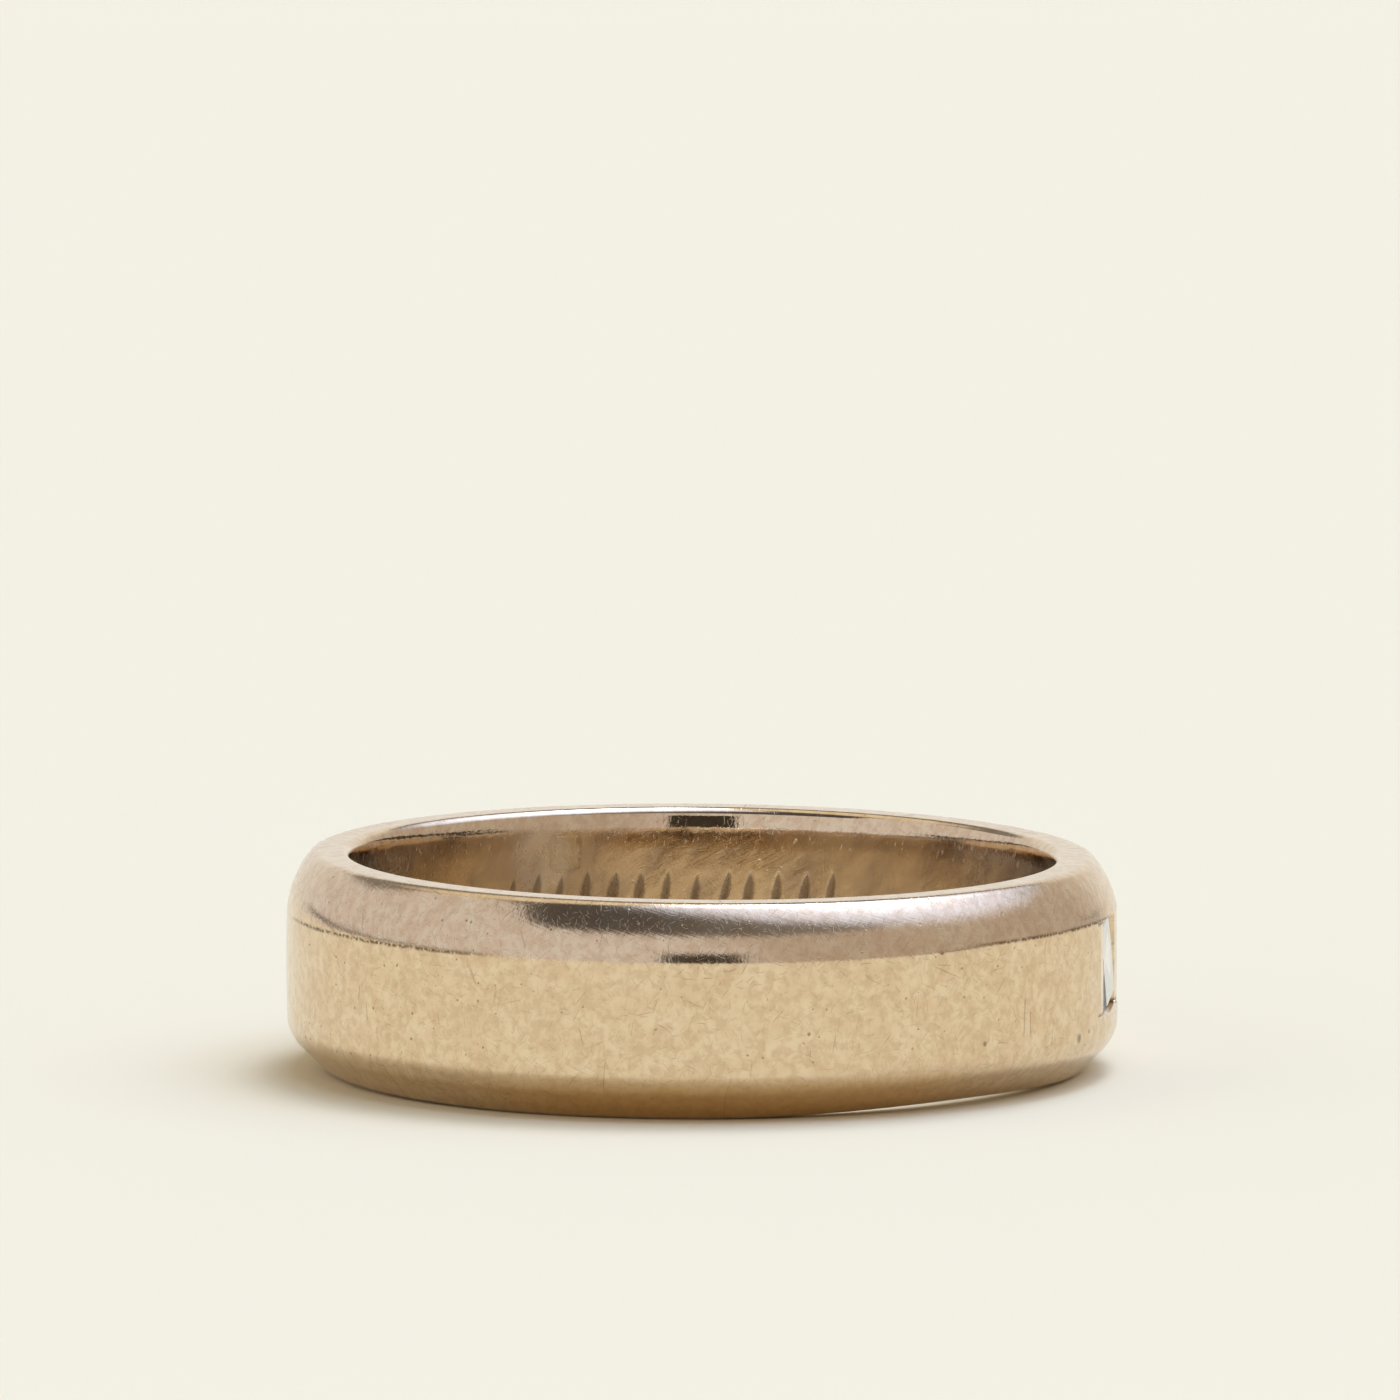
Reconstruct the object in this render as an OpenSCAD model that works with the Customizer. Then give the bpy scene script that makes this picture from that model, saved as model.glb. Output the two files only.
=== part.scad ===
// Gold wedding band with one square stone set flush in a milled window.
// The band stands on its lower edge: its finger axis is Z, and the stone faces +X.

/* [Band] */
// Inside diameter, which sets the finger size
finger_d = 19.35; // [16:0.05:22]
// Thickness of the wall at the middle of the face
wall_t = 1.825; // [1.8:0.025:2.4]
// Width of the band from edge to edge
band_w = 6; // [5.6:0.1:8]

/* [Outer profile] */
// Radius of the slight crown across the face
crown_r = 50; // [30:1:90]
// Height above the lower edge at which its 45-degree bevel would meet the face
low_bevel_h = 1.05; // [0.9:0.05:1.2]
// Radius of the worn shoulder between the face and that bevel
low_shoulder_r = 1.2; // [0.9:0.1:1.6]
// Height of the upper edge's long round shoulder
top_shoulder_h = 1.9; // [1.6:0.05:2.1]
// Radius of that shoulder
top_shoulder_r = 2.8; // [2.2:0.1:3]
// Width of the narrow break where a bevel or shoulder meets the edge's land
land_break = 0.3; // [0.1:0.05:0.4]

/* [Inner profile] */
// Radius of the comfort rounding at each end of the bore
comfort_r = 2.45; // [2:0.05:3.5]
// Height of the comfort rounding
comfort_h = 0.7; // [0.4:0.01:0.9]

/* [Window] */
// Height of the window across the face
window_h = 2.7; // [2.65:0.05:2.9]
// Depth of the window's flat floor under the face
window_sink = 0.2; // [0.15:0.01:0.26]
// Height of the window's middle above the middle of the band
window_rise = 0.18; // [0:0.02:0.3]
// Length of the pocket in the window's floor
pocket_l = 2.86; // [2.84:0.02:3]
// Depth of the pocket under the window's floor
pocket_sink = 0.28; // [0.26:0.01:0.32]
// Diameter of the light hole drilled up to the stone from the bore
light_hole_d = 1.8; // [1.75:0.05:1.9]

/* [Stone] */
// Side of the square stone at its girdle
stone_w = 2.55; // [2.5:0.01:2.58]
// Side of its table
table_w = 2.15; // [1.7:0.05:2.2]
// Height of the stone's crown
stone_crown_h = 0.12; // [0.08:0.01:0.16]
// Height of the girdle
girdle_h = 0.05; // [0.03:0.01:0.06]
// Clear metal between the culet and the bore
culet_cover = 0.15; // [0.1:0.01:0.3]
// Turn of the hand-set stone in its own plane
stone_turn = 5.6; // [-6:0.2:6]
// Lean of its table, which leaves the upper side deeper
stone_lean = 3.3; // [-4:0.1:4]

/* [Hidden] */
$fn = 180;

gold = [0.82, 0.72, 0.52];
diamond = [0.93, 0.95, 0.96, 0.6];

bore_r = finger_d / 2;
outer_r = bore_r + wall_t;
crown_z = band_w / 2;
// Distance along bevel and face from where they would meet to where their shoulder ends
shoulder_run = low_shoulder_r * tan(45 / 2);
// A rounding overlaps what it runs into by this much, so that the two meet on a clean line.
lap = 0.003;

window_x = outer_r - window_sink;
window_z = band_w / 2 + window_rise;
pocket_x = window_x - pocket_sink;
// The table lies level with the window's floor, less a hair.
table_x = window_x - 0.025;
stone_depth = table_x - bore_r - culet_cover;
// Three rows of pavilion steps, each flatter than the row above it.
pavilion_top = stone_crown_h + girdle_h;
pavilion_h = stone_depth - pavilion_top;
step_drop = [0.29, 0.64, 1];
step_side = [0.8, 0.45, 0.05];

// In these cuts the corner is at the origin, and the metal is above and left of it.

// Takes off the ridge where a slope this steep meets the flat land at the edge, x away from the corner.
module land_cut(x, slope) {
    translate([x, 0])
        rotate(slope / 2)
            translate([-2 * land_break, -1 + land_break * sin(slope / 2) / 2])
                square([4 * land_break, 1]);
}

// The lower edge: a 45-degree bevel, and a tight shoulder where it meets the face.
module low_edge_cut() {
    translate([0, low_bevel_h])
        rotate(45)
            translate([-2 * low_bevel_h, -low_bevel_h])
                square([3 * low_bevel_h, low_bevel_h]);
    difference() {
        translate([-low_shoulder_r, low_bevel_h - shoulder_run * sin(45)])
            square([low_shoulder_r + 1, shoulder_run * (1 + sin(45))]);
        translate([lap - low_shoulder_r, low_bevel_h + shoulder_run])
            circle(low_shoulder_r);
    }
    land_cut(-low_bevel_h, 45);
}

// The upper edge: one long round shoulder from the face to the land.
module top_edge_cut() {
    difference() {
        translate([-top_shoulder_r, -1])
            square([top_shoulder_r + 1, top_shoulder_h + 1]);
        translate([-top_shoulder_r, top_shoulder_h])
            circle(top_shoulder_r);
    }
    ridge = sqrt(pow(top_shoulder_r, 2) - pow(top_shoulder_h, 2)) - top_shoulder_r;
    land_cut(ridge, acos(top_shoulder_h / top_shoulder_r));
}

// The rounding at one end of the bore; here the metal is above and right of the corner.
module comfort_cut() {
    difference() {
        translate([-1, -1])
            square([1.5, comfort_h + 1]);
        translate([comfort_r - lap, comfort_h])
            circle(comfort_r);
    }
}

// Half of the band's cross-section, with the finger axis at x = 0.
module band_profile() {
    difference() {
        intersection() {
            translate([bore_r, 0])
                square([wall_t, band_w]);
            translate([outer_r - crown_r, crown_z])
                circle(crown_r);
        }
        translate([outer_r, 0])
            low_edge_cut();
        translate([outer_r, band_w])
            mirror([0, 1])
                top_edge_cut();
        translate([bore_r, 0])
            comfort_cut();
        translate([bore_r, band_w])
            mirror([0, 1])
                comfort_cut();
    }
}

// Side view of the stone: table at x = 0, culet towards -X.
module stone_outline() {
    half = concat(
        [[0, table_w / 2], [-stone_crown_h, stone_w / 2], [-pavilion_top, stone_w / 2]],
        [for (i = [0 : 2]) [-pavilion_top - pavilion_h * step_drop[i], stone_w * step_side[i] / 2]]
    );
    other_half = [for (i = [len(half) - 1 : -1 : 0]) [half[i][0], -half[i][1]]];
    polygon(concat(half, other_half));
}

// Two crossed bars of one outline leave a square step cut with mitred corners.
module step_cut() {
    intersection() {
        linear_extrude(2 * stone_w, center = true)
            stone_outline();
        rotate([90, 0, 0])
            linear_extrude(2 * stone_w, center = true)
                stone_outline();
    }
}

module set_stone() {
    translate([table_x, 0, window_z])
        rotate([0, -stone_lean, 0])
            rotate([stone_turn, 0, 0])
                step_cut();
}

// A bar as high as the window, from x outwards; the window's flat floor runs out on the round face by itself.
module window_bar(x, length) {
    translate([x, -length / 2, window_z - window_h / 2])
        cube([outer_r - x + 1, length, window_h]);
}

module light_hole() {
    translate([bore_r - 1, 0, window_z])
        rotate([0, 90, 0])
            cylinder(h = pocket_x - bore_r + 1, d = light_hole_d);
}

module band() {
    color(gold)
        difference() {
            rotate_extrude()
                band_profile();
            window_bar(window_x, outer_r);
            window_bar(pocket_x, pocket_l);
            light_hole();
            set_stone();
        }
}

module stone() {
    color(diamond)
        set_stone();
}

band();
stone();
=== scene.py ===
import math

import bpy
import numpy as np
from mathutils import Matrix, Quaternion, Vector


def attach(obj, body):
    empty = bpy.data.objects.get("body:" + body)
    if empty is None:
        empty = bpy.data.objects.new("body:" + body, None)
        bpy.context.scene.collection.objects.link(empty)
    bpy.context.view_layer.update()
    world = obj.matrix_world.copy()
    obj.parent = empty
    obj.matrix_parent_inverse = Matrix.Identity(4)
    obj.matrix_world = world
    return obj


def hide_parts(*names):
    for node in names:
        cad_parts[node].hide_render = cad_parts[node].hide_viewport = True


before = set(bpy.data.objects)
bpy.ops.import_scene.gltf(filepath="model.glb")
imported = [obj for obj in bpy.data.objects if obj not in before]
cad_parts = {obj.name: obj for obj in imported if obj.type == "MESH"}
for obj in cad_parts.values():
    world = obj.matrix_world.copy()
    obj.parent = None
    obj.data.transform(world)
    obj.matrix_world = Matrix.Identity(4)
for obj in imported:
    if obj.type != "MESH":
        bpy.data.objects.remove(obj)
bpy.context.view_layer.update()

# Looks of a pale gold band with one square stone set flush in a milled window.
# The band stands on its lower edge, its axis is Z, and the stone faces +X.
# Mesh functions work in millimetres and scale to metres as they make the mesh.

MM = 0.001

# The viewpoint: round the band from -Y towards +X, and above the floor
VIEW_AZIMUTH = math.radians(6.6)
VIEW_ELEVATION = math.radians(7.6)
VIEW_DISTANCE = 0.9
AIM_HEIGHT = 0.003
AIM_PITCH = math.radians(0.458)
AIM_YAW = math.radians(0.004)
LENS, SENSOR = 837, 36

# The band's sizes, as in its CAD source
BORE_R = 9.675
OUTER_R = 11.5
BAND_W = 6.0
CROWN_R = 50.0
CROWN_Z = 3.0
LOW_BEVEL_H = 1.05
LOW_SHOULDER_R = 1.2
TOP_SHOULDER_H = 1.9
TOP_SHOULDER_R = 2.8
COMFORT_R = 2.45
COMFORT_H = 0.70
# Wear that its CAD source leaves out: rounded outer edges and bore rims
EDGE_R = 0.35
RIM_R = 0.26
# Wear has drawn the comfort rounding out into the bore in a long, faint curve
DRAWN_R = 12.0
DRAWN_TILT = math.radians(3.0)
WINDOW_X = 11.3
WINDOW_Z = 3.18
WINDOW_H = 2.7
POCKET_X = 11.02
POCKET_L = 2.86
LIGHT_HOLE_R = 0.9
# The worn rounding of the light hole's rim, also left out there
LIGHT_HOLE_EDGE = 0.06

# The worn crease between the face and the upper shoulder
CREASE_Z = 4.48
CREASE_W = 0.4
# How far the upper edge dips on one side and lifts on the other
TOP_TILT = 0.09

# The engraved border inside the band: each cut's depth, spacing, height and lean
ENGRAVED = 0.016
ENGRAVED_PITCH = 0.78
ENGRAVED_H = 1.27
ENGRAVED_LEAN = -0.34
# The struck mark inside the band: its depth, place, and half sizes before its rounded corners
STRUCK = 0.010
STRUCK_TURN = -156.7
STRUCK_Z = 4.83
STRUCK_W, STRUCK_H = 0.30, 0.33
STRUCK_CORNER = 0.23
# Metal beside the mark that is rubbed dull: its middle, and where the dullness starts to fade
# and ends
RUBBED_TURN = -152.5
RUBBED_Z = 4.7
RUBBED_R, RUBBED_END_R = 0.7, 1.3

# The stone's sizes, as in its CAD source
TABLE_X = 11.275
TABLE_W = 2.15
STONE_W = 2.55
STONE_CROWN_H = 0.12
GIRDLE_H = 0.05
CULET_COVER = 0.15
STEP_DROP = (0.29, 0.64, 1)
STEP_SIDE = (0.8, 0.45, 0.05)
STONE_TURN = math.radians(5.6)
STONE_LEAN = math.radians(3.3)
SEAT_GAP = 0.008

# Spacing of the outline's points before the mesh picks its own
OUTLINE_STEP = 0.01


def smooth(x, lo, hi):
    """0 below lo, 1 above hi, and a smooth step between."""
    t = np.clip((x - lo) / (hi - lo), 0, 1)
    return t * t * (3 - 2 * t)


def soft_min(a, b, blend):
    """The smaller of two values, with a rounded join this wide where they cross."""
    h = np.clip(0.5 + 0.5 * (b - a) / blend, 0, 1)
    return b + (a - b) * h - blend * h * (1 - h)


def graded(start, end, step_at):
    """Positions from start to end whose spacing follows step_at."""
    x = [start]
    while x[-1] < end:
        x.append(x[-1] + step_at(x[-1]))
    x = np.array(x)
    return start + (x - start) * (end - start) / (x[-1] - start)


def arc(centre, radius, start, end):
    """Points on an arc in the (r, z) plane; angles are in degrees from outwards."""
    n = max(4, int(abs(math.radians(end - start)) * radius / OUTLINE_STEP))
    t = np.radians(np.linspace(start, end, n))
    return np.stack([centre[0] + radius * np.cos(t), centre[1] + radius * np.sin(t)], 1)


# ---- The band's cross-section ----

def low_edge(z):
    """Radius of the lower bevel, and of the tight shoulder between it and the face."""
    run = LOW_SHOULDER_R * math.tan(math.radians(22.5))
    below = np.clip(LOW_BEVEL_H + run - z, 0, LOW_SHOULDER_R)
    shoulder = OUTER_R - LOW_SHOULDER_R + np.sqrt(LOW_SHOULDER_R ** 2 - below ** 2)
    bevel = OUTER_R - LOW_BEVEL_H + z
    return np.where(z > LOW_BEVEL_H - run * math.sin(math.radians(45)), shoulder, bevel)


def top_edge(z):
    """Radius of the long round shoulder at the upper edge."""
    above = np.clip(z - (BAND_W - TOP_SHOULDER_H), 0, TOP_SHOULDER_R)
    return OUTER_R - TOP_SHOULDER_R + np.sqrt(TOP_SHOULDER_R ** 2 - above ** 2)


def crown(z):
    """Radius of the slightly crowned face."""
    return OUTER_R - CROWN_R + np.sqrt(CROWN_R ** 2 - (z - CROWN_Z) ** 2)


def outer_radius(z):
    """Radius of the finished outside at a height."""
    return soft_min(soft_min(crown(z), low_edge(z), 0.01), top_edge(z), 0.006)


def outside_outline():
    """The outside in (r, z), from the lower land round both edges to the upper land."""
    low_r = OUTER_R - LOW_BEVEL_H - EDGE_R * (math.sqrt(2) - 1)
    low_round = arc((low_r, EDGE_R), EDGE_R, -90, -45)
    rise, reach = TOP_SHOULDER_H - EDGE_R, TOP_SHOULDER_R - EDGE_R
    top_r = OUTER_R - TOP_SHOULDER_R + math.sqrt(reach ** 2 - rise ** 2)
    top_round = arc((top_r, BAND_W - EDGE_R), EDGE_R, math.degrees(math.asin(rise / reach)), 90)
    z = np.arange(low_round[-1, 1] + OUTLINE_STEP, top_round[0, 1], OUTLINE_STEP)
    return np.concatenate([low_round, np.stack([outer_radius(z), z], 1), top_round])


def upper_mouth():
    """The bore's upper mouth in (r, z): its rim, its comfort rounding and the worn curve below."""
    drawn_end = BORE_R + DRAWN_R * (1 - math.cos(DRAWN_TILT))
    centre_r = drawn_end + COMFORT_R * math.cos(DRAWN_TILT)
    drawn_h = COMFORT_H + (DRAWN_R - COMFORT_R) * math.sin(DRAWN_TILT)
    tilt = math.asin((COMFORT_H - RIM_R) / (COMFORT_R - RIM_R))
    mouth_r = centre_r - (COMFORT_R - RIM_R) * math.cos(tilt)
    tilt, drawn_tilt = math.degrees(tilt), math.degrees(DRAWN_TILT)
    rim = arc((mouth_r, BAND_W - RIM_R), RIM_R, 90, 180 - tilt)
    comfort = arc((centre_r, BAND_W - COMFORT_H), COMFORT_R, 180 - tilt, 180 - drawn_tilt)
    drawn = arc((BORE_R + DRAWN_R, BAND_W - drawn_h), DRAWN_R, 180 - drawn_tilt, 180)
    return np.concatenate([rim, comfort, drawn])


def cross_section():
    """The closed outline of the band in (r, z), from the lower land outwards and round."""
    mouth = upper_mouth()
    bore_z = np.arange(mouth[-1, 1] - OUTLINE_STEP, BAND_W - mouth[-1, 1], -OUTLINE_STEP)
    bore = np.stack([np.full_like(bore_z, BORE_R), bore_z], 1)
    lower_mouth = np.stack([mouth[::-1, 0], BAND_W - mouth[::-1, 1]], 1)
    return np.concatenate([outside_outline(), mouth, bore, lower_mouth])


def profile_step(r, z):
    """Mesh spacing along the outline: fine at the window, the engraving, the mouths and edges."""
    if r > 11.2:
        return 0.035 if WINDOW_Z - 1.6 < z < WINDOW_Z + 1.6 else 0.06
    if r < BORE_R + 0.01:
        return 0.04 if 1.2 < z < 5.5 else 0.08
    if r < BORE_R + 0.3 or min(z, BAND_W - z) < 0.5:
        return 0.03
    return 0.07


def sampled_section():
    """The outline's radii and heights at the mesh's own spacing."""
    dense = cross_section()
    closed = np.concatenate([dense, dense[:1]])
    length = np.concatenate([[0], np.cumsum(np.hypot(*np.diff(closed, axis=0).T))])
    at = lambda s: (np.interp(s, length, closed[:, 0]), np.interp(s, length, closed[:, 1]))
    s = graded(0, length[-1], lambda s: profile_step(*at(s)))[:-1]
    return at(s)


# ---- Placing things round the band ----

def seen_at(degrees):
    """The angle about Z of a place this far to the right of the side that faces the camera."""
    return math.radians(degrees) + VIEW_AZIMUTH - math.pi / 2


def turn_between(theta, centre):
    """The turn from centre to theta, between half a turn back and half a turn on."""
    return (theta - centre + math.pi) % (2 * math.pi) - math.pi


def angle_step(theta):
    """Mesh spacing round the band, in radians: fine at the window and behind the engraving."""
    window = abs(turn_between(theta, 0)) < math.radians(14)
    engraved = abs(turn_between(theta, seen_at(176))) < math.radians(44)
    return 0.035 / OUTER_R if window else 0.04 / BORE_R if engraved else 0.11 / OUTER_R


def bump_at(theta, centre, half_width):
    """A smooth hill of height 1 round one place of the band."""
    return smooth(-np.abs(turn_between(theta, centre)), -half_width, 0)


# ---- Shaping the grid ----

def set_uneven(theta, z):
    """A worn band isn't quite true: its edges dip and lift a little round the ring."""
    top = -TOP_TILT * np.sin(turn_between(theta, seen_at(0)))
    low = 0.17 * bump_at(theta, seen_at(44), math.radians(44))
    low = low + 0.09 * bump_at(theta, seen_at(-75), math.radians(50))
    return z + low * (1 - z / BAND_W) + top * smooth(z, CROWN_Z, BAND_W)


def true_height(theta, z):
    """The height on an even band of a point that set_uneven has moved to z."""
    height = z
    for _ in range(4):
        height = height + z - set_uneven(theta, height)
    return height


def crease_share(theta):
    """How sharp and dirty the upper crease is: most at the left and right of the front."""
    left = smooth(-np.abs(turn_between(theta, seen_at(-55))), -math.radians(30), -math.radians(16))
    right = smooth(-np.abs(turn_between(theta, seen_at(60))), -math.radians(24), -math.radians(12))
    back = smooth(-np.cos(theta - seen_at(0)), 0, 0.3) * (0.5 + 0.5 * np.cos(5 * theta + 1))
    return np.maximum(np.maximum(left, right), 0.6 * back)


def crease_height(theta):
    """The crease climbs a little from left to right, against the tilt of the upper edge."""
    return CREASE_Z + TOP_TILT * np.sin(turn_between(theta, seen_at(0)))


def crease_edge(theta, z):
    """Metal that is left where the face still meets the upper shoulder at an edge."""
    start = crease_height(theta)
    end = start + CREASE_W
    flat = crown(start) + (top_edge(end) - crown(start)) * np.clip((z - start) / CREASE_W, 0, 1)
    edge = np.where(z < start, crown(z), flat)
    extra = np.clip(edge - outer_radius(z), 0, None) * (z > CREASE_Z - 0.58) * (z < end)
    return extra * crease_share(theta)


def waves(theta, z, rng, finest, height, count=24):
    """Gentle waviness of a hand-finished surface, which closes on itself round the band."""
    total = np.zeros_like(theta)
    for _ in range(count):
        turns = rng.integers(3, int(2 * math.pi * OUTER_R / finest))
        rise = rng.uniform(-2 * math.pi, 2 * math.pi) / finest
        total += np.cos(turns * theta + rise * z + rng.uniform(0, 2 * math.pi))
    return total * height / math.sqrt(count)


def open_window(x, y, z):
    """How far out points of the face near +X lie once the window and its pocket are milled."""
    wall = WINDOW_H / 2 - np.abs(z - WINDOW_Z)
    inside = smooth(wall, -0.012, 0.018)
    pocket = inside * smooth(POCKET_L / 2 - np.abs(y), -0.012, 0.018)
    floor = WINDOW_X + (POCKET_X - WINDOW_X) * pocket
    cut = soft_min(x, floor, 0.004)
    return x + (cut - x) * inside


def leaf_cut(u, v, width, depth):
    """Depth of a leaf-shaped graver's cut; u runs along it from 0 to 1, and v is across."""
    half = width / 2 * np.sin(math.pi * np.clip(u, 0, 1)) ** 0.6
    return depth * smooth(np.clip(half - np.abs(v), 0, None) / (width / 2), 0, 1)


def engraving(theta, z):
    """A running wheat-ear border: two rows of leaning leaf cuts round part of the bore."""
    around = BORE_R * turn_between(theta, seen_at(187))
    total = np.zeros_like(theta)
    rng = np.random.default_rng(19)
    for i in range(-6, 7):
        for side in (-1, 1):
            shift = 0 if side > 0 else ENGRAVED_PITCH / 2
            foot = i * ENGRAVED_PITCH + shift + rng.uniform(-0.06, 0.06)
            rise = side * (z - CROWN_Z) - 0.05
            u = rise / (ENGRAVED_H * rng.uniform(0.92, 1.06))
            bent = ENGRAVED_LEAN + rng.uniform(-0.05, 0.05) + 0.12 * u
            v = (around - foot - bent * rise) * math.cos(math.atan(ENGRAVED_LEAN))
            width, depth = rng.uniform(0.32, 0.44), ENGRAVED * rng.uniform(0.6, 1)
            total = np.maximum(total, leaf_cut(u, v, width, depth))
    return total


def punch_mark(theta, z):
    """A plain struck cartouche, with nothing in it."""
    around = BORE_R * turn_between(theta, seen_at(STRUCK_TURN))
    past_side = np.clip(np.abs(around) - STRUCK_W, 0, None)
    past_end = np.clip(np.abs(z - STRUCK_Z) - STRUCK_H, 0, None)
    return STRUCK * smooth(-np.hypot(past_side, past_end), -STRUCK_CORNER, -0.01)


def band_vertices():
    """The band's grid of points, and how many it has across the outline and round the band."""
    section_r, section_z = sampled_section()
    turns = graded(-math.pi, math.pi, angle_step)[:-1]
    across, around = len(section_r), len(turns)
    r, z = np.repeat(section_r, around), np.repeat(section_z, around)
    theta = np.tile(turns, across)
    rng = np.random.default_rng(7)
    outside = r > BORE_R + 0.4
    in_bore = r < BORE_R + 0.03
    r = r + np.where(outside, waves(theta, z, rng, 2.2, 0.0022) + crease_edge(theta, z), 0)
    r = r + np.where(in_bore, np.maximum(engraving(theta, z), punch_mark(theta, z)), 0)
    x, y = r * np.cos(theta), r * np.sin(theta)
    near_window = outside & (np.abs(theta) < math.radians(13)) & (np.abs(z - WINDOW_Z) < 1.6)
    x = np.where(near_window, open_window(x, y, z), x)
    z = set_uneven(theta, z)
    return np.stack([x, y, z], 1), across, around


def grid_faces(across, around):
    """Quads between a grid's points, which close both round the outline and round the band."""
    i, j = (a.ravel() for a in np.meshgrid(np.arange(across), np.arange(around), indexing="ij"))
    i2, j2 = (i + 1) % across, (j + 1) % around
    return np.stack([i * around + j, i * around + j2, i2 * around + j2, i2 * around + j], 1)


def tube_faces(rows, sides):
    """The faces of a closed tube of rings that have this many points each."""
    faces = [tuple(range(sides))[::-1]]
    for k in range(rows - 1):
        for i in range(sides):
            a, b = sides * k + i, sides * k + (i + 1) % sides
            faces.append((a, b, b + sides, a + sides))
    faces.append(tuple(range(sides * (rows - 1), sides * rows)))
    return faces


def make_object(name, points, faces):
    """A mesh object from points in millimetres."""
    mesh = bpy.data.meshes.new(name)
    faces = faces.tolist() if isinstance(faces, np.ndarray) else faces
    mesh.from_pydata((np.asarray(points) * MM).tolist(), [], faces)
    mesh.update()
    obj = bpy.data.objects.new(name, mesh)
    bpy.context.scene.collection.objects.link(obj)
    return obj


def stone_outline():
    """The stone's corners from table to culet: each one's depth under the table and half width."""
    top = STONE_CROWN_H + GIRDLE_H
    pavilion_h = TABLE_X - BORE_R - CULET_COVER - top
    corners = [(0, TABLE_W / 2), (STONE_CROWN_H, STONE_W / 2), (top, STONE_W / 2)]
    for drop, side in zip(STEP_DROP, STEP_SIDE):
        # To whole microns
        corners.append((round(top + pavilion_h * drop, 3), round(STONE_W * side / 2, 3)))
    return corners


def seat_cutter():
    """The stone's own step cut, grown by the seat's gap."""
    outline = stone_outline()
    rings = [(-1.0, outline[0][1] + SEAT_GAP)]
    rings += [(depth, half + SEAT_GAP) for depth, half in outline]
    rings.append((outline[-1][0] + SEAT_GAP, outline[-1][1]))
    points = []
    for depth, half in rings:
        for sy, sz in ((-1, -1), (1, -1), (1, 1), (-1, 1)):
            p = Vector((-depth, sy * half, sz * half))
            p.rotate(Quaternion((1, 0, 0), STONE_TURN))
            p.rotate(Quaternion((0, 1, 0), -STONE_LEAN))
            points.append((p.x + TABLE_X, p.y, p.z + WINDOW_Z))
    return make_object("seat_cutter", points, tube_faces(len(rings), 4))


def light_hole_cutter():
    """A rod from the bore into the pocket, with a broken edge where it leaves the bore."""
    sides = 64
    mouth_r = LIGHT_HOLE_R + LIGHT_HOLE_EDGE
    rings = (
        (BORE_R - 1, mouth_r),
        (BORE_R - 0.02, mouth_r),
        (BORE_R + LIGHT_HOLE_EDGE, LIGHT_HOLE_R),
        (POCKET_X + 0.3, LIGHT_HOLE_R),
    )
    points = []
    for x, radius in rings:
        for i in range(sides):
            a = 2 * math.pi * i / sides
            points.append((x, radius * math.cos(a), WINDOW_Z + radius * math.sin(a)))
    return make_object("light_hole_cutter", points, tube_faces(len(rings), sides))


def cut(obj, cutter):
    """Takes the cutter's solid out of the object, and removes the cutter."""
    mod = obj.modifiers.new("cut", "BOOLEAN")
    mod.operation, mod.solver, mod.object = "DIFFERENCE", "MANIFOLD", cutter
    bpy.context.view_layer.update()
    graph = bpy.context.evaluated_depsgraph_get()
    mesh = bpy.data.meshes.new_from_object(obj.evaluated_get(graph))
    obj.modifiers.clear()
    obj.data = mesh
    bpy.data.objects.remove(cutter)


def crease_dirt(theta, radius, height):
    """Dirt in the crease between face and shoulder, from 0 to 1."""
    near = smooth(-np.abs(height - crease_height(theta)), -0.08, -0.01)
    return near * crease_share(theta) * (radius > OUTER_R - 0.5)


def window_corner_shade(theta, radius, height):
    """Painted shade along the two long corners of the window's floor, from 0 to 1."""
    x, y = radius * np.cos(theta), radius * np.sin(theta)
    off = np.abs(height - WINDOW_Z)
    corner = smooth(off, WINDOW_H / 2 - 0.14, WINDOW_H / 2 - 0.04) * (off < WINDOW_H / 2 - 0.005)
    on_floor = smooth(-x, -WINDOW_X - 0.04, -WINDOW_X - 0.005) * (x > POCKET_X - 0.12)
    return corner * on_floor * (np.abs(y) < 2.3)


def wear_and_shade(theta, radius, height):
    """Four kinds of wear, from 0 to 1, at points of the finished mesh: dirt in the crease, dirt in
    the cuts together with painted shade in the window's corners, the satin inside the struck mark,
    and metal rubbed dull beside it."""
    bore = radius < BORE_R + 0.1
    cuts = smooth(engraving(theta, height) / ENGRAVED, 0.02, 0.5) * 0.75
    mark = punch_mark(theta, height) / STRUCK
    rim = smooth(mark, 0.02, 0.25) * smooth(-mark, -0.6, -0.3) * 0.25
    grime_and_shade = np.where(bore, np.maximum(cuts, rim), 0)
    beside = BORE_R * turn_between(theta, seen_at(RUBBED_TURN))
    rubbed = smooth(-np.hypot(beside, height - RUBBED_Z), -RUBBED_END_R, -RUBBED_R) * bore
    return {
        "crease": crease_dirt(theta, radius, height),
        # Painted shade along the window floor's two long corners joins the dirt in the cuts
        "grime_and_shade": np.maximum(grime_and_shade, 0.8 * window_corner_shade(theta, radius, height)),
        "satin": smooth(mark, 0.3, 0.7) * bore,
        "rubbed": rubbed,
    }


def write_wear_and_shade(mesh):
    """Writes the wear and the painted shade of the window's corners to the mesh, for the gold to
    read.
    """
    co = np.empty(len(mesh.vertices) * 3, np.float32)
    mesh.vertices.foreach_get("co", co)
    x, y, z = (co.reshape(-1, 3) / MM).T.astype(float)
    theta, radius = np.arctan2(y, x), np.hypot(x, y)
    for name, values in wear_and_shade(theta, radius, true_height(theta, z)).items():
        layer = mesh.attributes.new(name, "FLOAT", "POINT")
        layer.data.foreach_set("value", values.astype(np.float32))


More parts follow.
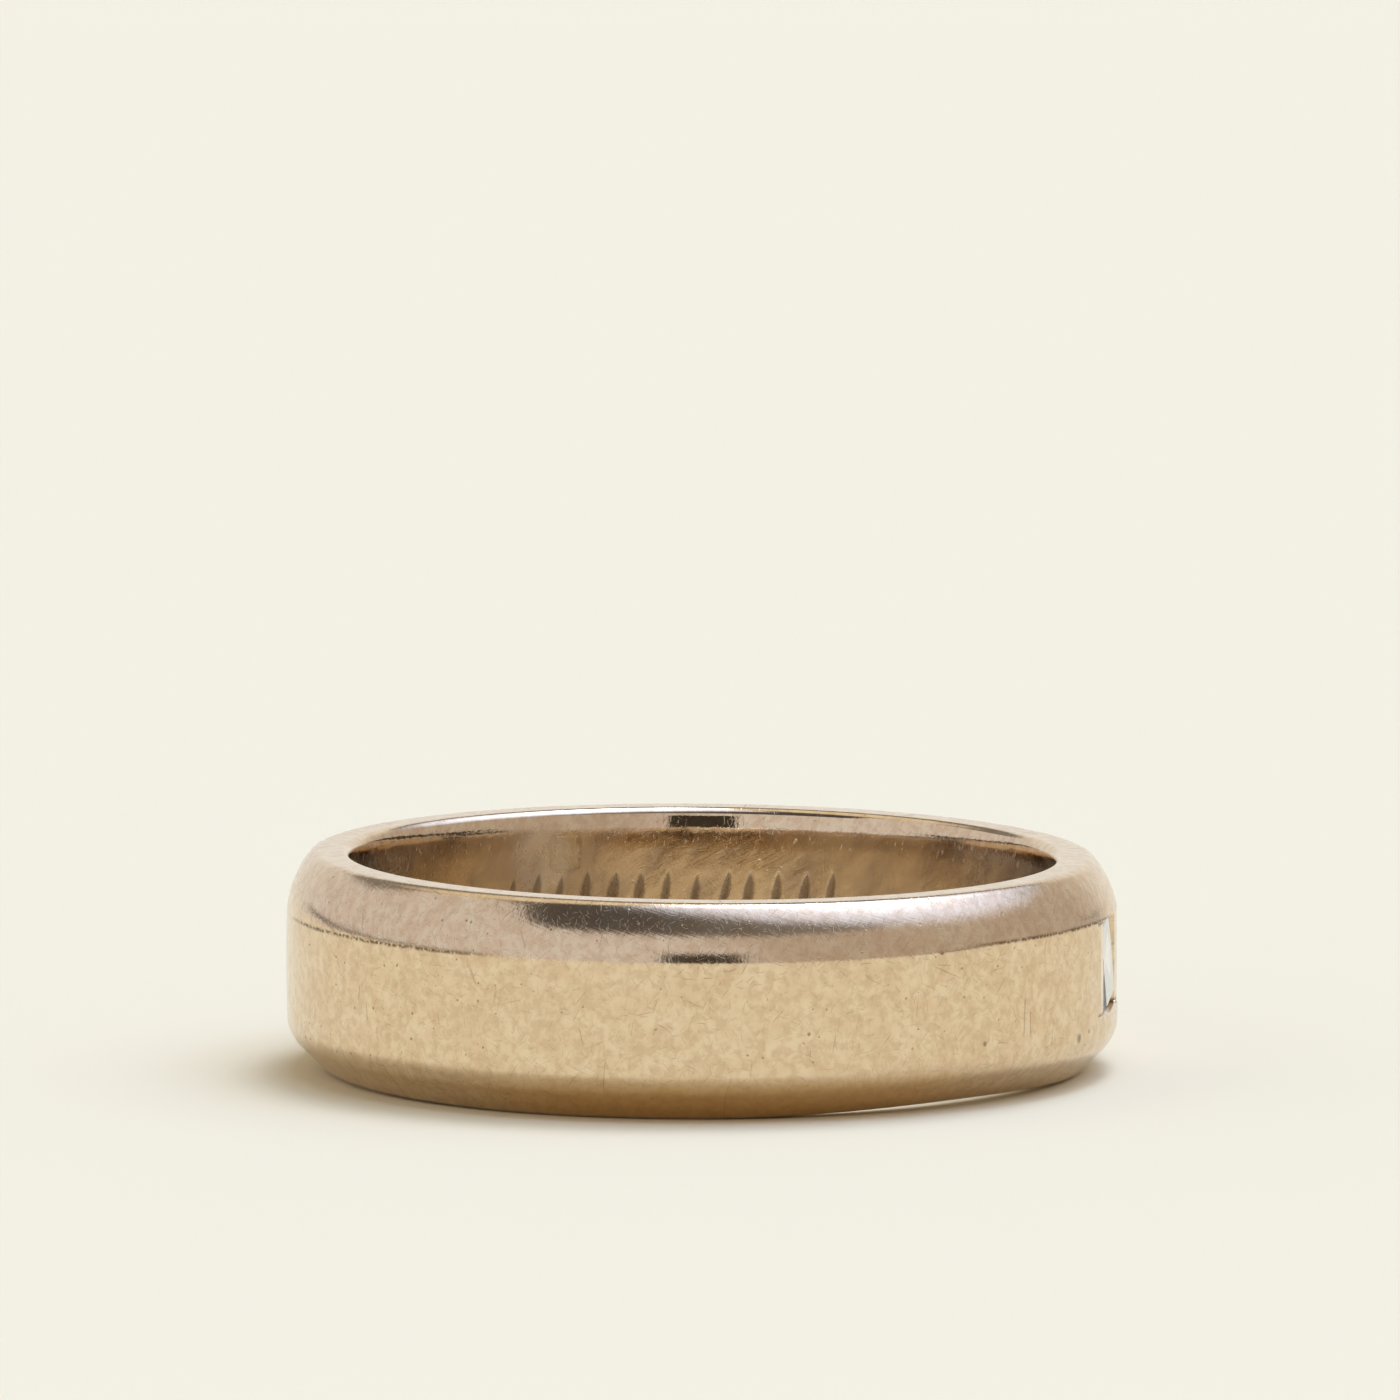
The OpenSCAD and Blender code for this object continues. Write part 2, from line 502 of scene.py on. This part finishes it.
def build_band():
    """The gold band, which stands for the plain CAD band."""
    points, across, around = band_vertices()
    obj = make_object("gold_band", points, grid_faces(across, around))
    cut(obj, seat_cutter())
    cut(obj, light_hole_cutter())
    write_wear_and_shade(obj.data)
    obj.data.shade_smooth()
    obj.data.set_sharp_from_angle(angle=math.radians(38))
    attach(obj, "root")
    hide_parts("band")
    return obj


# ---- Node helpers ----

class Graph:
    """Adds nodes to one node tree. An input can be a plain value or another node's output."""

    def __init__(self, tree):
        self.tree = tree
        tree.nodes.clear()

    def put(self, socket, value):
        if isinstance(value, bpy.types.NodeSocket):
            self.tree.links.new(value, socket)
        else:
            socket.default_value = value

    def add(self, kind, inputs=(), **settings):
        node = self.tree.nodes.new("ShaderNode" + kind)
        for name, value in settings.items():
            setattr(node, name, value)
        for key, value in dict(inputs).items():
            self.put(node.inputs[key], value)
        return node

    def math(self, operation, *values):
        node = self.add("Math", operation=operation)
        for socket, value in zip(node.inputs, values):
            self.put(socket, value)
        return node.outputs[0]

    def step(self, value, lo, hi, to_lo=0.0, to_hi=1.0):
        """to_lo where value is lo, to_hi where it is hi, and a smooth step between."""
        ends = {"Value": value, "From Min": lo, "From Max": hi, "To Min": to_lo, "To Max": to_hi}
        return self.add("MapRange", ends, interpolation_type="SMOOTHSTEP").outputs["Result"]

    def mix(self, amount, a, b):
        """Colour a, or b where the amount is 1. Inputs 6 and 7 are the Mix node's colours."""
        return self.add("Mix", {0: amount, 6: a, 7: b}, data_type="RGBA").outputs[2]

    def vector(self, operation, a, b):
        node = self.add("VectorMath", {0: a, 1: b}, operation=operation)
        return node.outputs["Value" if operation == "DOT_PRODUCT" else "Vector"]


def new_material(name):
    material = bpy.data.materials.new(name)
    material.use_nodes = True
    return material, Graph(material.node_tree)


def rgb(*values):
    return (*values, 1.0)


# ---- Materials ----

GOLD_WARM = rgb(0.745, 0.570, 0.38)
GOLD_PALE = rgb(0.80, 0.655, 0.455)
GOLD_DULL = rgb(0.63, 0.455, 0.285)
GOLD_BRIGHT = rgb(0.86, 0.75, 0.57)
GOLD_SATIN = rgb(0.70, 0.60, 0.44)
BORE_DULL = rgb(0.585, 0.49, 0.39)
BORE_RICH = rgb(0.775, 0.645, 0.475)
# Dirt, and also painted shade at the foot of the lower edge and in the window's corners; amber for
# painted shade on the lower edge
DIRT_AND_SHADE = rgb(0.19, 0.115, 0.05)
AMBER_SHADE = rgb(0.72, 0.41, 0.08)

# Pits of the face: degrees to the right of the front, height and radius
DENTS = (
    (64.6, 1.49, 0.20),
    (68.0, 1.60, 0.09),
    (42.4, 1.82, 0.10),
    (34.9, 4.48, 0.09),
    (14.7, 2.45, 0.07),
)
# Longer scratches: degrees, height, length, lean and half width
SCRAPES = (
    (50.3, 2.45, 1.4, 2, 0.035),
    (51.6, 2.2, 0.9, -4, 0.03),
    (-53.2, 2.5, 0.6, -6, 0.035),
    (-55, 3.0, 0.5, 8, 0.03),
)
# Long brushed scratches: lean, how fine, how broken up along their length, and seed
BRUSHING = ((18, 9, 0.7, 3), (-38, 8, 0.8, 17), (66, 5, 1.4, 31), (-8, 13, 0.9, 47))


def place_in_mm(g):
    """The place on the piece, in millimetres."""
    place = g.add("TexCoord").outputs["Object"]
    return g.add("VectorMath", {0: place, "Scale": 1 / MM}, operation="SCALE").outputs[0]


def written(g, name):
    """The wear of this name that write_wear_and_shade has written to the mesh."""
    return g.add("Attribute", attribute_name=name).outputs["Fac"]


def facing(g, outward, degrees):
    """1 where the band faces this far to the right of its front, and less away from there."""
    way = (math.cos(seen_at(degrees)), math.sin(seen_at(degrees)), 0)
    return g.vector("DOT_PRODUCT", outward, way)


def skin(g, place):
    """The direction out from the band's axis, the distance from it, and the height, at a place."""
    x, y, z = g.add("SeparateXYZ", {0: place}).outputs[:3]
    flat = g.add("CombineXYZ", {0: x, 1: y}).outputs[0]
    radius = g.add("VectorMath", {0: flat}, operation="LENGTH").outputs["Value"]
    outward = g.add("VectorMath", {0: flat}, operation="NORMALIZE").outputs[0]
    return outward, radius, z


def streaks(g, place, lean, fine, long, seed):
    """Noise drawn out into lines over the skin, leaning from the axis by this many degrees."""
    outward, radius, z = skin(g, place)
    climb = g.math("SUBTRACT", z, radius)
    unit = g.add("VectorMath", {0: outward, "Scale": OUTER_R * fine}, operation="SCALE").outputs[0]
    twist = math.tan(math.radians(lean)) / OUTER_R
    angle = g.math("MULTIPLY", climb, twist)
    turned = g.add("VectorRotate", {"Vector": unit, "Angle": angle}, rotation_type="Z_AXIS")
    turned = turned.outputs[0]
    height = g.add("CombineXYZ", {2: g.math("MULTIPLY_ADD", climb, long, seed)}).outputs[0]
    drawn = g.vector("ADD", turned, height)
    return g.add("TexNoise", {"Vector": drawn, "Scale": 1.0, "Detail": 2.0}).outputs["Fac"]


def cells(g, place, per_mm, seed):
    """Random cells over the skin: the way along and across from each one's middle, turned at
    random, and two random numbers of its own."""
    spread = {0: place, 1: (per_mm,) * 3, 2: (seed, 2 * seed, 3 * seed)}
    scaled = g.add("VectorMath", spread, operation="MULTIPLY_ADD").outputs[0]
    cell = g.add("TexVoronoi", {"Vector": scaled, "Scale": 1.0})
    lean, chance, size = g.add("SeparateColor", {0: cell.outputs["Color"]}).outputs[:3]
    outward = skin(g, place)[0]
    offset = g.vector("SUBTRACT", scaled, cell.outputs["Position"])
    angle = g.math("MULTIPLY", lean, 2 * math.pi)
    turned = g.add("VectorRotate", {"Vector": offset, "Axis": outward, "Angle": angle}).outputs[0]
    along = g.add("SeparateXYZ", {0: turned}).outputs[2]
    across = g.vector("DOT_PRODUCT", turned, g.vector("CROSS_PRODUCT", outward, (0, 0, 1)))
    return along, across, chance, size


def short_scratches(g, place, per_mm, length, width, share, seed):
    """Short bent scratches that lie every way; length and width are half sizes in millimetres."""
    along, across, chance, size = cells(g, place, per_mm, seed)
    bend = g.math("MULTIPLY", g.math("MULTIPLY", along, along), g.math("SUBTRACT", size, 0.5))
    off = g.math("ABSOLUTE", g.math("ADD", across, bend))
    line = g.step(off, width * per_mm, 0.3 * width * per_mm)
    ends = g.step(g.math("ABSOLUTE", along), length * per_mm, 0.5 * length * per_mm)
    return g.math("MULTIPLY", g.math("MULTIPLY", line, ends), g.step(chance, share, share - 0.15))


def specks(g, place, per_mm, radius, share, seed):
    """Small round pits of mixed sizes; radius is that of the largest, in millimetres."""
    along, across, chance, size = cells(g, place, per_mm, seed)
    squares = g.math("ADD", g.math("MULTIPLY", along, along), g.math("MULTIPLY", across, across))
    far = g.math("SQRT", squares)
    reach = g.math("MULTIPLY", g.math("MULTIPLY_ADD", size, 0.7, 0.3), radius * per_mm)
    spot = g.step(g.math("DIVIDE", far, reach), 1.0, 0.45)
    return g.math("MULTIPLY", spot, g.math("LESS_THAN", chance, share))


def largest(g, *values):
    """The largest of several masks."""
    top = values[0]
    for value in values[1:]:
        top = g.math("MAXIMUM", top, value)
    return top


def face_point(degrees, z):
    """A point of the outer face, this far to the right of the side that faces the camera."""
    r = float(outer_radius(np.float64(z)))
    return Vector((r * math.cos(seen_at(degrees)), r * math.sin(seen_at(degrees)), z))


def dent(g, place, degrees, z, radius):
    """One worn pit of the face."""
    ends = {0: place, 1: face_point(degrees, z)}
    gap = g.add("VectorMath", ends, operation="DISTANCE").outputs["Value"]
    return g.step(gap, radius, 0.3 * radius)


def scrape(g, place, degrees, z, length, lean, width):
    """One longer scratch of the face, leaning from upright by this many degrees."""
    middle = face_point(degrees, z)
    round_way = Vector((-math.sin(seen_at(degrees)), math.cos(seen_at(degrees)), 0))
    tilt = math.radians(lean)
    way = Vector((0, 0, 1)) * math.cos(tilt) + round_way * math.sin(tilt)
    side = Vector((0, 0, -1)) * math.sin(tilt) + round_way * math.cos(tilt)
    offset = g.vector("SUBTRACT", place, middle)
    along = g.math("ABSOLUTE", g.vector("DOT_PRODUCT", offset, way))
    across = g.math("ABSOLUTE", g.vector("DOT_PRODUCT", offset, side))
    depth = g.math("ABSOLUTE", g.vector("DOT_PRODUCT", offset, way.cross(side)))
    line = g.step(across, width, 0.3 * width)
    line = g.math("MULTIPLY", line, g.step(along, length / 2, length / 4))
    return g.math("MULTIPLY", line, g.step(depth, 1.0, 0.5))


def brushing(g, place):
    """Long brushed scratches, and a mask of the deepest of them."""
    scratches, marks = None, None
    for row in BRUSHING:
        line = streaks(g, place, *row)
        mark = g.step(line, 0.70, 0.76)
        scratches = line if scratches is None else g.math("ADD", scratches, line)
        marks = mark if marks is None else g.math("MAXIMUM", marks, mark)
    return scratches, marks


def gold_wear(g, place):
    """The gold's scratches and pits, by name."""
    scratches, marks = brushing(g, place)
    return {
        "scratches": scratches,
        "marks": marks,
        "bright": short_scratches(g, place, 4.6, 0.11, 0.010, 0.85, 5),
        "glint": g.step(streaks(g, place, 12, 14, 4.5, 83), 0.60, 0.74),
        "dark": short_scratches(g, place, 2.9, 0.17, 0.017, 0.75, 11),
        "deep": short_scratches(g, place, 1.1, 0.30, 0.018, 0.35, 19),
        "pits": specks(g, place, 1.5, 0.05, 0.3, 23),
        "grains": specks(g, place, 4.5, 0.022, 0.4, 29),
        "dents": largest(g, *(dent(g, place, *row) for row in DENTS)),
        "scrapes": largest(g, *(scrape(g, place, *row) for row in SCRAPES)),
    }


def gold_dirt_and_shade(g, place, outward, hollow, worn):
    """Dirt in the scratches and pits, most at the left and least on the hollow side, in the
    crease, where it breaks up into flecks, and in the cuts; with it, painted shade in the window's
    corners."""
    left = g.step(facing(g, outward, -65), 0.6, 0.9)
    fleck = g.add("TexNoise", {"Vector": place, "Scale": 9.0, "Detail": 3.0}).outputs["Fac"]
    crease = g.math("MULTIPLY", written(g, "crease"), g.step(fleck, 0.40, 0.56, 0.2, 1.0))
    dirt_and_shade = largest(
        g,
        g.math("MULTIPLY", worn["marks"], 0.3),
        g.math("MULTIPLY", worn["dark"], 0.2),
        g.math("MULTIPLY", worn["deep"], 0.3),
        g.math("MULTIPLY", worn["pits"], g.math("MULTIPLY_ADD", left, 0.3, 0.35)),
        g.math("MULTIPLY", worn["grains"], g.math("MULTIPLY_ADD", left, 0.4, 0.25)),
        g.math("MULTIPLY", worn["dents"], 0.6),
        g.math("MULTIPLY", worn["scrapes"], 0.4),
    )
    dirt_and_shade = g.math("MULTIPLY", dirt_and_shade, g.math("SUBTRACT", 1.0, g.math("MULTIPLY", hollow, 0.75)))
    # With the cuts' dirt comes painted shade along the window's corners
    return largest(g, dirt_and_shade, crease, written(g, "grime_and_shade"))


def shaded_low_edge(g, tone, outward, height, blotch, outer):
    """The tone with painted shade on the lower edge, most at the front: an amber darkening, and
    darker still at the foot where the band stands on the floor.
    """
    front = facing(g, outward, 5)
    # Painted shade: the lower edge darkens to amber, most at the front
    amber_shade = g.math("MULTIPLY", g.step(height, 1.35, 0.85), g.step(blotch, 0.2, 0.8, 0.8, 1.2))
    amber_shade = g.math("MULTIPLY", amber_shade, g.step(front, 0.68, 1.0, 0.0, 0.44))
    tone = g.mix(g.math("MULTIPLY", amber_shade, outer), tone, AMBER_SHADE)
    # Painted shade: darker still at the foot, where the band stands on the floor
    foot = g.math("MULTIPLY", g.step(height, 0.55, 0.15), g.step(front, 0.3, 0.9, 0.0, 0.22))
    return g.mix(g.math("MULTIPLY", foot, outer), tone, DIRT_AND_SHADE)


def lined(g, tone, inside, patch, mottle):
    """The tone with the bore's colours: soft patches, a satin struck mark and dirt in the cuts."""
    lining = g.mix(g.step(patch, 0.38, 0.6), BORE_DULL, BORE_RICH)
    satin = g.math("MULTIPLY", written(g, "satin"), g.step(mottle, 0.35, 0.6, 0.3, 1.0))
    lining = g.mix(satin, lining, GOLD_SATIN)
    lining = g.mix(written(g, "grime_and_shade"), lining, DIRT_AND_SHADE)
    return g.mix(g.math("MULTIPLY", inside, 0.75), tone, lining)


def gold_normal(g, hollow, inside, patch, mottle, worn):
    """Fine brushing, and over it scratches, pits and the faint waves of the hand-scraped bore."""
    relief = largest(g, worn["marks"], worn["dark"], worn["deep"])
    relief = g.math("SUBTRACT", mottle, g.math("MULTIPLY", relief, 0.25))
    pitted = largest(g, worn["pits"], worn["dents"], worn["scrapes"])
    relief = g.math("SUBTRACT", relief, g.math("MULTIPLY", pitted, 2.0))
    scraped = g.math("MULTIPLY", g.math("MULTIPLY", patch, inside), 5.0)
    relief = g.math("ADD", relief, scraped)
    outer = g.math("SUBTRACT", 1.0, g.math("MULTIPLY", hollow, 0.6))
    brushed = g.math("MULTIPLY", worn["scratches"], outer)
    fine = g.add("Bump", {"Height": brushed, "Strength": 1.0, "Distance": 1.8e-6}).outputs[0]
    coarse = {"Height": relief, "Strength": 1.0, "Distance": 2e-6, "Normal": fine}
    return g.add("Bump", coarse).outputs[0]


def gold_roughness(g, outward, height, hollow, inside, mottle, dirt_and_shade, glitter):
    """Polished on the hollow side, duller in the bore, and dull where bright scratches glitter."""
    polish = g.math("SUBTRACT", 1.0, g.math("MULTIPLY", hollow, 0.65))
    bore = g.math("MULTIPLY", inside, g.step(mottle, 0.3, 0.7, 0.02, 0.07))
    roughness = g.math("MULTIPLY", g.step(mottle, 0.3, 0.7, 0.11, 0.15), polish)
    roughness = g.math("ADD", roughness, g.math("MULTIPLY_ADD", dirt_and_shade, 0.25, bore))
    # The bore is scratched dull at its two sides, and rubbed dull beside the struck mark
    side = facing(g, outward, 90)
    side = g.math("ADD", g.step(side, 0.55, 0.9, 0.0, 0.22), g.step(side, -0.6, -0.95, 0.0, 0.18))
    roughness = g.math("ADD", roughness, g.math("MULTIPLY", side, inside))
    roughness = g.math("MULTIPLY_ADD", written(g, "rubbed"), 0.2, roughness)
    scatter = g.step(height, 4.55, 5.1, 0.10, 0.22)
    return g.math("ADD", roughness, g.math("MULTIPLY", glitter, scatter))


def gold_material():
    """Pale gold, worn by years on a hand."""
    material, g = new_material("worn_gold")
    place = place_in_mm(g)
    outward, radius, height = skin(g, place)
    # The hollow side is the bore with its two mouths, and inside is the bore alone
    hollow = g.step(radius, BORE_R + 0.3, BORE_R + 0.15)
    outer = g.math("SUBTRACT", 1.0, hollow)
    inside = g.step(radius, BORE_R + 0.03, BORE_R + 0.006)
    blotch = g.add("TexNoise", {"Vector": place, "Scale": 1.6, "Detail": 3.0}).outputs["Fac"]
    mottle = {"Vector": place, "Scale": 3.6, "Detail": 3.0, "Roughness": 0.62, "Distortion": 0.3}
    mottle = g.add("TexNoise", mottle).outputs["Fac"]
    patch = streaks(g, place, 35, 0.9, 0.8, 73)
    worn = gold_wear(g, place)
    bright = g.math("MULTIPLY", worn["bright"], outer)
    dirt_and_shade = gold_dirt_and_shade(g, place, outward, hollow, worn)

    tone = g.mix(g.step(blotch, 0.3, 0.7), GOLD_WARM, GOLD_PALE)
    tone = g.mix(g.step(mottle, 0.40, 0.64, 0.0, 0.62), tone, GOLD_DULL)
    # Fine lines from a polishing stick on the hollow side
    stick = g.math("MULTIPLY", g.step(streaks(g, place, 52, 12, 1.6, 61), 0.52, 0.72), hollow)
    tone = g.mix(g.math("MULTIPLY", g.math("ADD", bright, stick), 0.25), tone, GOLD_BRIGHT)
    # Darker with dirt, and with painted shade in the window's corners
    tone = g.mix(dirt_and_shade, tone, DIRT_AND_SHADE)
    # Painted shade on the lower edge, most at the front
    tone = shaded_low_edge(g, tone, outward, height, blotch, outer)
    tone = lined(g, tone, inside, patch, mottle)

    glitter = g.math("MAXIMUM", bright, worn["glint"])
    inputs = {
        "Base Color": tone,
        "Metallic": 1.0,
        "Roughness": gold_roughness(g, outward, height, hollow, inside, mottle, dirt_and_shade, glitter),
        "Normal": gold_normal(g, hollow, inside, patch, mottle, worn),
    }
    shader = g.add("BsdfPrincipled", inputs)
    g.add("OutputMaterial", {0: shader.outputs[0]})
    return material


def diamond_material():
    """Clear stone with a faint film of skin oil and a few hairlines."""
    material, g = new_material("diamond")
    place = place_in_mm(g)
    film = {"Vector": place, "Scale": 2.2, "Detail": 4.0, "Roughness": 0.7}
    film = g.add("TexNoise", film).outputs["Fac"]
    hairs = short_scratches(g, place, 1.6, 0.28, 0.008, 0.3, 41)
    tone = g.mix(g.step(film, 0.45, 0.7), rgb(1.0, 0.99, 0.97), rgb(0.93, 0.92, 0.88))
    roughness = g.math("ADD", g.step(film, 0.45, 0.75, 0.0, 0.05), g.math("MULTIPLY", hairs, 0.15))
    bump = g.add("Bump", {"Height": hairs, "Strength": 0.3, "Distance": 2e-6})
    shader = g.add(
        "BsdfPrincipled",
        {
            "Base Color": tone,
            "Roughness": roughness,
            "IOR": 2.42,
            "Transmission Weight": 1.0,
            "Coat Weight": 1.0,
            "Coat IOR": 1.8,
            "Normal": bump.outputs[0],
        },
    )
    g.add("OutputMaterial", {0: shader.outputs[0]})
    return material


# ---- The studio ----

LEFT_WALL = rgb(0.76, 0.74, 0.79)
RIGHT_WALL = rgb(0.555, 0.50, 0.47)
LEFT_BACKDROP = rgb(0.86, 0.84, 0.80)
RIGHT_BACKDROP = rgb(0.93, 0.91, 0.87)
BEHIND_FLOOR = rgb(0.06, 0.05, 0.04)
LEFT_CEILING = rgb(0.10, 0.095, 0.10)
RIGHT_CEILING = rgb(0.24, 0.23, 0.235)
BACK_CEILING = rgb(0.26, 0.25, 0.25)
HIGH_WALL = rgb(0.90, 0.82, 0.68)
LAMP_EDGE = rgb(1.12, 1.28, 1.85)
LAMP = rgb(1.7, 2.0, 2.9)
LAMP_MIDDLE = rgb(8.3, 9.3, 12.4)
CAMERA_BODY = rgb(0.055, 0.048, 0.038)
PAPER = rgb(0.874, 0.795, 0.565)


def add_camera():
    data = bpy.data.cameras.new("camera")
    data.lens, data.sensor_width = LENS, SENSOR
    data.clip_start, data.clip_end = 0.01, 20
    camera = bpy.data.objects.new("camera", data)
    bpy.context.scene.collection.objects.link(camera)
    back = Vector(
        (
            math.sin(VIEW_AZIMUTH) * math.cos(VIEW_ELEVATION),
            -math.cos(VIEW_AZIMUTH) * math.cos(VIEW_ELEVATION),
            math.sin(VIEW_ELEVATION),
        )
    )
    camera.location = Vector((0, 0, AIM_HEIGHT)) + back * VIEW_DISTANCE
    camera.rotation_mode = "QUATERNION"
    camera.rotation_quaternion = (
        (-back).to_track_quat("-Z", "Y")
        @ Quaternion((1, 0, 0), AIM_PITCH)
        @ Quaternion((0, 1, 0), AIM_YAW)
    )
    bpy.context.scene.camera = camera


def direction(turn, rise):
    """A direction from the band: degrees round from the camera to its right, and up."""
    turn, rise = math.radians(turn) + VIEW_AZIMUTH, math.radians(rise)
    return (math.cos(rise) * math.sin(turn), -math.cos(rise) * math.cos(turn), math.sin(rise))


def cone(g, way, turn, rise, outer, inner):
    """1 within inner degrees of a direction, and 0 beyond outer degrees."""
    near = g.vector("DOT_PRODUCT", way, direction(turn, rise))
    return g.step(near, math.cos(math.radians(outer)), math.cos(math.radians(inner)))


def walls(g, right, turn, rise):
    """Paler on the left, greyer on the right, a pale backdrop behind, and a dark gap past the
    floor's far edge at both sides."""
    off = g.math("ABSOLUTE", turn)
    wall = g.mix(g.step(turn, -15, 40), LEFT_WALL, RIGHT_WALL)
    backdrop = g.mix(g.step(right, -0.3, 0.3), LEFT_BACKDROP, RIGHT_BACKDROP)
    wall = g.mix(g.step(off, 128, 165), wall, backdrop)
    gap = g.math("MULTIPLY", g.step(off, 60, 75), g.step(off, 150, 135))
    low = g.math("MULTIPLY", g.step(rise, 1.3, 1.7), g.step(rise, 3.8, 2.8))
    return g.mix(g.math("MULTIPLY", gap, low), wall, BEHIND_FLOOR)


def under_ceiling(g, wall, turn, rise):
    """The walls under a dark ceiling, whose edge is higher on the left and lower behind."""
    off = g.math("ABSOLUTE", turn)
    raised = g.step(g.math("ABSOLUTE", g.math("ADD", turn, 90)), 40, 10, 0, 17.5)
    lowered = g.step(off, 100, 130, 0, 9.5)
    lifted = g.step(turn, 50, 70, 0, 2.5)
    edge = g.math("ADD", 36.5, g.math("ADD", lifted, g.math("SUBTRACT", raised, lowered)))
    ceiling = g.mix(g.step(turn, -40, 50), LEFT_CEILING, RIGHT_CEILING)
    ceiling = g.mix(g.step(off, 95, 130), ceiling, BACK_CEILING)
    return g.mix(g.step(g.math("SUBTRACT", rise, edge), -2, 3), wall, ceiling)


def lit(g, room, way):
    """The room with its lamp: a wide soft glow, cut off straight on its far side, and a small
    hot middle."""
    beam = g.step(g.vector("DOT_PRODUCT", way, direction(62, 0)), -0.16, -0.04)
    glow = g.math("MULTIPLY", cone(g, way, 115, 70, 45.6, 29.5), beam)
    room = g.mix(glow, room, LAMP_EDGE)
    glow = g.math("MULTIPLY", cone(g, way, 115, 70, 29, 21), beam)
    room = g.mix(glow, room, LAMP)
    return g.mix(cone(g, way, 148, 70.7, 15, 5), room, LAMP_MIDDLE)


def add_world():
    """The studio: walls, a ceiling, one big soft lamp up behind on the right, and the camera."""
    world = bpy.data.worlds.new("studio")
    world.use_nodes = True
    bpy.context.scene.world = world
    g = Graph(world.node_tree)
    way = g.add("TexCoord").outputs["Generated"]
    right = g.vector("DOT_PRODUCT", way, direction(90, 0))
    near = g.vector("DOT_PRODUCT", way, direction(0, 0))
    up = g.vector("DOT_PRODUCT", way, (0, 0, 1))
    turn = g.math("DEGREES", g.math("ARCTAN2", right, near))
    rise = g.math("DEGREES", g.math("ARCSINE", up))
    room = under_ceiling(g, walls(g, right, turn, rise), turn, rise)
    room = g.mix(cone(g, way, -135, 64, 28, 12), room, HIGH_WALL)
    room = lit(g, room, way)
    body = g.math("MULTIPLY", g.step(rise, 0.5, 1.5), g.step(rise, 17, 16))
    body = g.math("MULTIPLY", g.step(g.math("ABSOLUTE", turn), 11.5, 10.5), body)
    room = g.mix(body, room, CAMERA_BODY)
    background = g.add("Background", {"Color": room, "Strength": 1.0})
    g.add("OutputWorld", {0: background.outputs[0]})


def add_floor():
    """A wide sheet of warm white paper, a hair under the ring."""
    reach, z = 1600.0, -0.01
    corners = [(-reach, -reach, z), (reach, -reach, z), (reach, reach, z), (-reach, reach, z)]
    floor = make_object("floor", corners, [(0, 1, 2, 3)])
    material, g = new_material("paper")
    shader = g.add("BsdfDiffuse", {"Color": PAPER})
    g.add("OutputMaterial", {0: shader.outputs[0]})
    floor.data.materials.append(material)


add_camera()
add_world()
add_floor()

band = build_band()
band.data.materials.clear()
band.data.materials.append(gold_material())

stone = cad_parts["stone"]
diamond = diamond_material()
for slot in stone.material_slots:
    slot.material = diamond

bpy.context.scene.view_settings.view_transform = "Standard"
